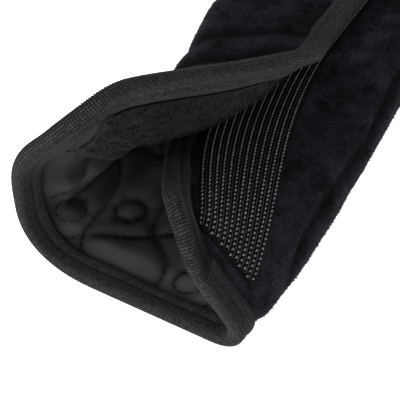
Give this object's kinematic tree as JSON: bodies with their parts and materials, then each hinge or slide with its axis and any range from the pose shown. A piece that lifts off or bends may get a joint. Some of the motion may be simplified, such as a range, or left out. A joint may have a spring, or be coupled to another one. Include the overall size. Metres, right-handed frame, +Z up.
{
  "type": "seat belt shoulder pad",
  "caption": "Padded plush sleeve for a seat belt, folded into a flat tube with a hook and loop seam, its near end peeled open to show the quilted lining.",
  "frame": {"origin": "centre of the bounding box at the level of the flat underside", "axes": "+Z up, +Y along the tube from its open mouth to its closed far end, +X towards the folded side"},
  "size_m": [0.0782, 0.2752, 0.0764],
  "materials": {
    "plush_cover": "short pile velour",
    "foam_padding": "soft wadding",
    "quilted_lining": "satin",
    "edge_binding": "ribbed woven tape",
    "hook_strip": "moulded nylon hooks",
    "loop_strip": "looped pile"
  },
  "bodies": {
    "root": {"plush_cover": "plush_cover", "foam_padding": "foam_padding", "quilted_lining": "quilted_lining", "edge_binding": "edge_binding", "hook_strip": "hook_strip", "loop_strip": "loop_strip"}
  },
  "joints": []
}
